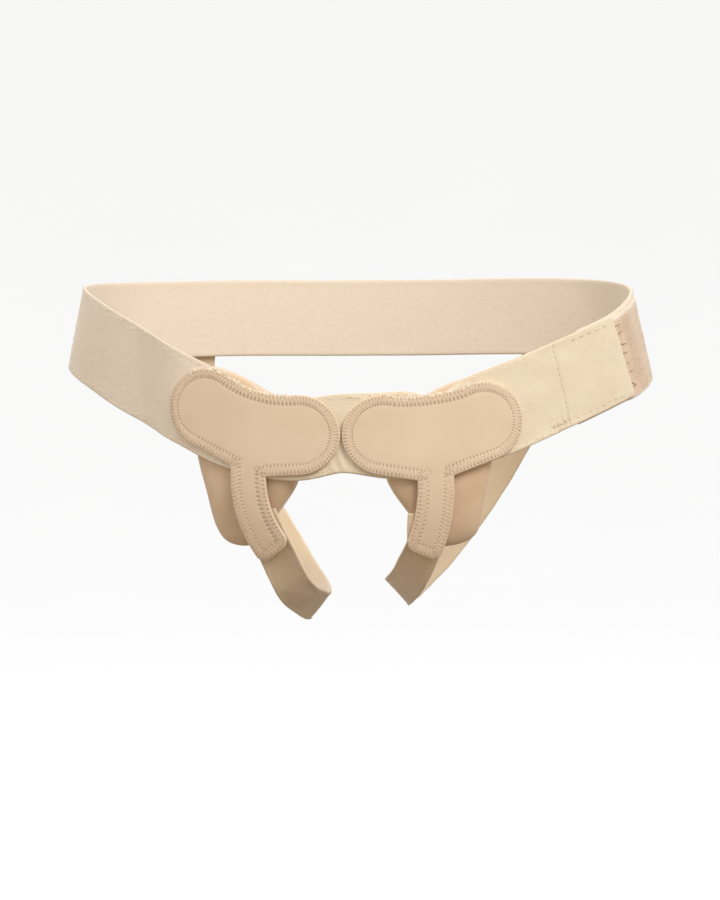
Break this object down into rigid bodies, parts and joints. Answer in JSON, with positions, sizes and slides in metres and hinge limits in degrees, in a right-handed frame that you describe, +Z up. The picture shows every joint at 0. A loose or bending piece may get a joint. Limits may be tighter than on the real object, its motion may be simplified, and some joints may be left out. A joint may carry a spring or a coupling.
{
  "type": "hernia belt with groin pads and leg straps",
  "caption": "Elastic waist band that dips in front, with stitched patches, foam groin pads and leg straps, closed at the hip.",
  "frame": {"origin": "middle of the wearer's hips, on the midline and level with the middle line of the band's front", "axes": "+Z up the wearer's body, -Y out of the belt's front, +X towards the wearer's left hip"},
  "size_m": [0.3483, 0.2369, 0.2073],
  "materials": {
    "napped_elastic": "matt looped nap",
    "woven_elastic": "matt ribbed weave",
    "landing_tab": "matt brushed",
    "foam_laminate": "smooth matt knit on foam",
    "pad_foam": "matt brushed knit on foam",
    "strap_elastic": "matt soft elastic",
    "strap_tab": "matt hook tape"
  },
  "bodies": {
    "root": {"waist_band": "napped_elastic", "front_band": "woven_elastic", "closure_tab": "landing_tab", "patch_right": "foam_laminate", "patch_left": "foam_laminate", "pad_right": "pad_foam", "pad_left": "pad_foam", "leg_strap_right": "strap_elastic", "leg_strap_left": "strap_elastic", "strap_tab_right": "strap_tab", "strap_tab_left": "strap_tab"}
  },
  "joints": []
}
